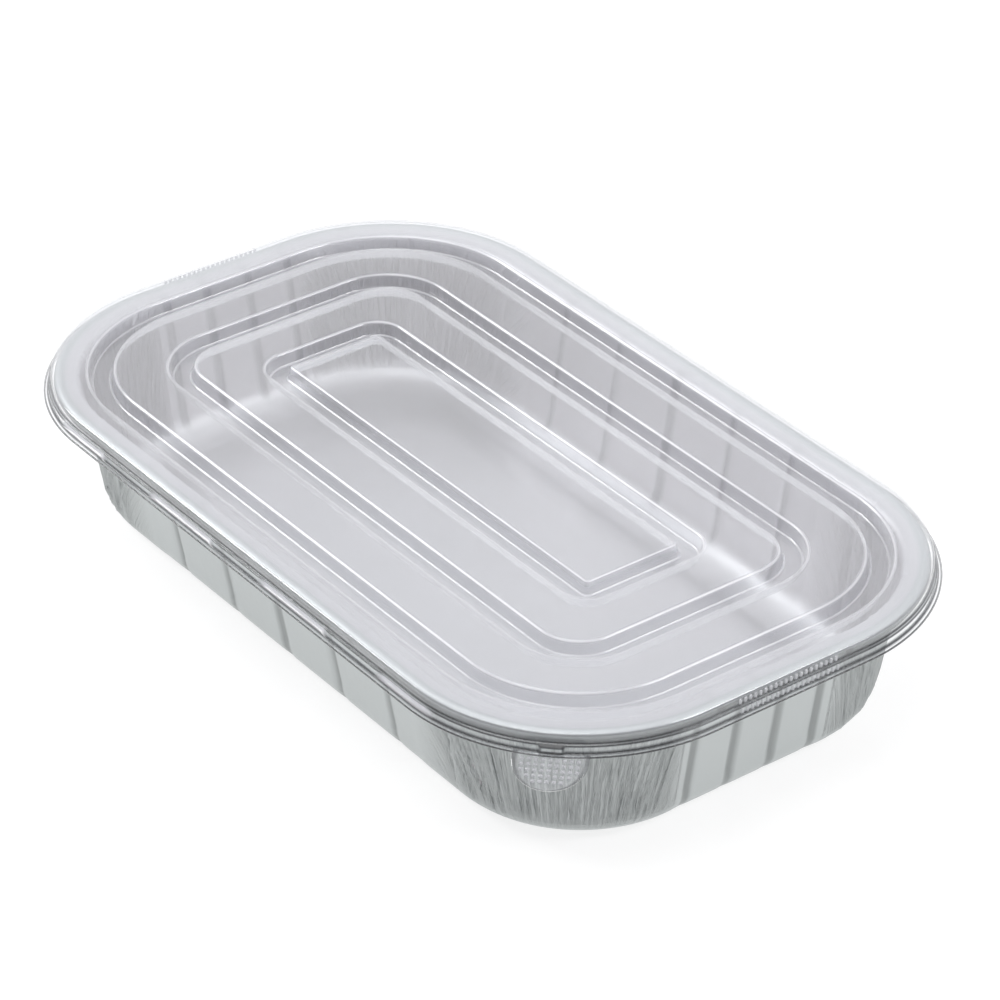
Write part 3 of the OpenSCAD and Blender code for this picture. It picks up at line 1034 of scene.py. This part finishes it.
def add_camera():
    """Looks at the middle of the lid from the solved direction, moved sideways and up to frame it."""
    a, e, t = (math.radians(v) for v in (view_azimuth, view_elevation, view_roll))
    back = Vector((math.sin(a) * math.cos(e), -math.cos(a) * math.cos(e), math.sin(e)))
    level = Vector((math.cos(a), math.sin(a), 0))
    rise = back.cross(level)
    right = level * math.cos(t) + rise * math.sin(t)
    up = rise * math.cos(t) - level * math.sin(t)
    data = bpy.data.cameras.new("camera")
    data.lens, data.sensor_width = focal_length, 36.0
    data.clip_start, data.clip_end = 0.01, 20
    camera = bpy.data.objects.new("camera", data)
    place = Vector((0, 0, lid_z)) + back * view_distance + right * view_right + up * view_up
    turn = Matrix((right, up, back)).transposed().to_4x4()
    camera.matrix_world = Matrix.Translation(place * MM) @ turn
    bpy.context.collection.objects.link(camera)
    bpy.context.scene.camera = camera
    print("camera at", [round(v) for v in place], "mm")


add_camera()

# %% [markdown]
# The floor is plain and pale and glows a little, as a product table lit from below does. Foil
# shows what stands round it, so the studio walls matter more than the lamps: they are bright
# behind the tray and dim behind the camera. Two small soft boxes, left and right of the tray,
# give the thin bright lines along the channels, and a larger one overhead fills the panels.

# %% Floor, walls and soft boxes
floor_half = 6.0
paper_dim, paper_bright = (0.31, 0.31, 0.31, 1), (0.33, 0.33, 0.33, 1)
glow_dim, glow_bright, glow_strength = (0.97, 0.97, 0.97, 1), (1.0, 1.0, 1.0, 1), 0.75
wall_dim, wall_bright = 0.45, 1.15
box_distance = 1.3


def add_floor():
    """A plain pale sheet, large enough to fill every view."""
    mesh = bpy.data.meshes.new("floor")
    h = floor_half
    mesh.from_pydata([(-h, -h, 0), (h, -h, 0), (h, h, 0), (-h, h, 0)], [], [(0, 1, 2, 3)])
    floor = bpy.data.objects.new("floor", mesh)
    bpy.context.collection.objects.link(floor)
    paper = Finish("floor_paper")
    grain = paper.noise(paper.place(), 40.0)
    paper.finish(paper.node("ShaderNodeBsdfPrincipled", inputs={
        "Base Color": paper.between(grain, paper_dim, paper_bright),
        "Emission Color": paper.between(grain, glow_dim, glow_bright),
        "Emission Strength": glow_strength,
        "Roughness": 0.9, "Specular IOR Level": 0.1}), floor)


def add_world(low, high):
    """Studio walls: bright behind the tray, dim behind the camera, where clear edges pick up dark lines."""
    world = bpy.data.worlds.new("studio")
    world.use_nodes = True
    tree = world.node_tree
    way = tree.nodes.new("ShaderNodeTexCoord")
    towards = tree.nodes.new("ShaderNodeVectorMath")
    towards.operation = "DOT_PRODUCT"
    a, e = math.radians(view_azimuth), math.radians(20)
    towards.inputs[1].default_value = (-math.sin(a) * math.cos(e), math.cos(a) * math.cos(e), math.sin(e))
    ramp = tree.nodes.new("ShaderNodeMapRange")
    ramp.interpolation_type = "SMOOTHSTEP"
    for name, value in (("From Min", -0.3), ("From Max", 0.8), ("To Min", low), ("To Max", high)):
        ramp.inputs[name].default_value = value
    back = tree.nodes["Background"]
    back.inputs["Color"].default_value = (0.985, 0.98, 1.0, 1)
    tree.links.new(way.outputs["Generated"], towards.inputs[0])
    tree.links.new(towards.outputs["Value"], ramp.inputs["Value"])
    tree.links.new(ramp.outputs["Result"], back.inputs["Strength"])
    bpy.context.scene.world = world


def add_soft_box(name, azimuth, elevation, size, power):
    """A square area light that faces the middle of the tray; angles in degrees, size in metres."""
    a, e = math.radians(azimuth), math.radians(elevation)
    way = Vector((math.sin(a) * math.cos(e), -math.cos(a) * math.cos(e), math.sin(e)))
    data = bpy.data.lights.new(name, "AREA")
    data.shape, data.size, data.energy = "SQUARE", size, power
    light = bpy.data.objects.new(name, data)
    light.location = way * box_distance
    light.rotation_mode = "QUATERNION"
    light.rotation_quaternion = way.to_track_quat("Z", "Y")
    bpy.context.collection.objects.link(light)


add_floor()
add_world(wall_dim, wall_bright)
add_soft_box("soft_box_left", -62, 34, 0.45, 6)
add_soft_box("soft_box_right", 122, 42, 0.45, 5)
add_soft_box("soft_box_top", 0, 75, 1.0, 6)

# %% [markdown]
# ## Colour
# The plain transform keeps white paper white.

# %% Colour
view = bpy.context.scene.view_settings
view.view_transform, view.look = "Standard", "None"
print("colour transform", view.view_transform)
